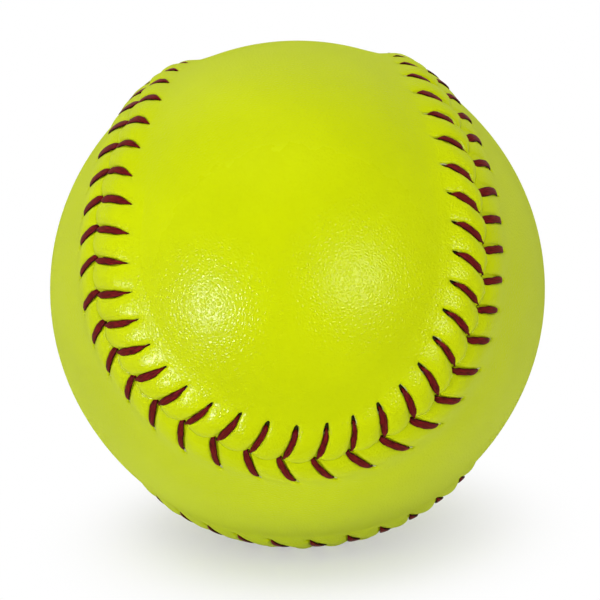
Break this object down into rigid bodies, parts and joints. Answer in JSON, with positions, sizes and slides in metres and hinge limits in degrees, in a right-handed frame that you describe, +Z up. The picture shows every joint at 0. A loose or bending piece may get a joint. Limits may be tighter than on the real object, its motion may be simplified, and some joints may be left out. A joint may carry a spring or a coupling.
{
  "type": "softball",
  "caption": "Round ball with a sewn cover of figure-eight panels over a moulded core, for pitching, batting and catching.",
  "frame": {"origin": "the ball's centre", "axes": "+Z up as the ball lies in the picture, -Y toward the side that faces the camera, +X to the right in that view. The seam pattern's own axis leans back from +Z by 40 degrees about X, so a cover lobe faces forward and up."},
  "size_m": [0.097, 0.097, 0.0979],
  "materials": {
    "core_polyurethane": "matte moulded foam",
    "latex_cement": "dull dried film",
    "cover_synthetic_leather": "semi-gloss, fine pebble grain",
    "waxed_thread": "waxed, low sheen"
  },
  "bodies": {
    "root": {"core": "core_polyurethane", "cement_film": "latex_cement", "cover_panel_front": "cover_synthetic_leather", "cover_panel_side": "cover_synthetic_leather", "thread_first": "waxed_thread", "thread_second": "waxed_thread"}
  },
  "joints": []
}
